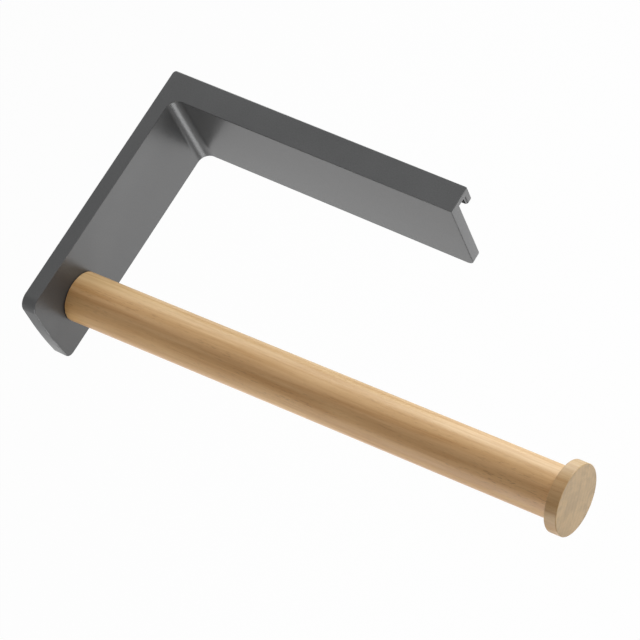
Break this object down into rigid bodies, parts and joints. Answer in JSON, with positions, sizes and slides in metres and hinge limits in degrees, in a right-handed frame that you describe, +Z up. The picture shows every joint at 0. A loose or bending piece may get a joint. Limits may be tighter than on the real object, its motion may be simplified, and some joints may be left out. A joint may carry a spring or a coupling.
{
  "type": "rail-mounted roll holder",
  "caption": "Metal bracket that hooks over a flat wall rail and carries a wooden rod with an end disc for a paper roll.",
  "frame": {"origin": "middle of the rail seat, the ceiling of the hook's slot, where the top flange bears on the rail", "axes": "+Z up; +X along the rail, from the rod arm towards the rod's free end; +Y towards the wall"},
  "size_m": [0.2864, 0.1411, 0.061],
  "materials": {
    "graphite_metal": "satin graphite coating",
    "rod_wood": "turned, clear satin oil",
    "disc_wood": "turned, end grain on its faces, clear satin oil",
    "dowel_wood": "plain, hidden",
    "screw_steel": "plain steel",
    "insert_zinc": "zinc plated, hidden"
  },
  "bodies": {
    "root": {"bracket": "graphite_metal", "rod": "rod_wood", "end_disc": "disc_wood", "disc_dowel": "dowel_wood", "rod_screw": "screw_steel", "rod_insert": "insert_zinc"}
  },
  "joints": []
}
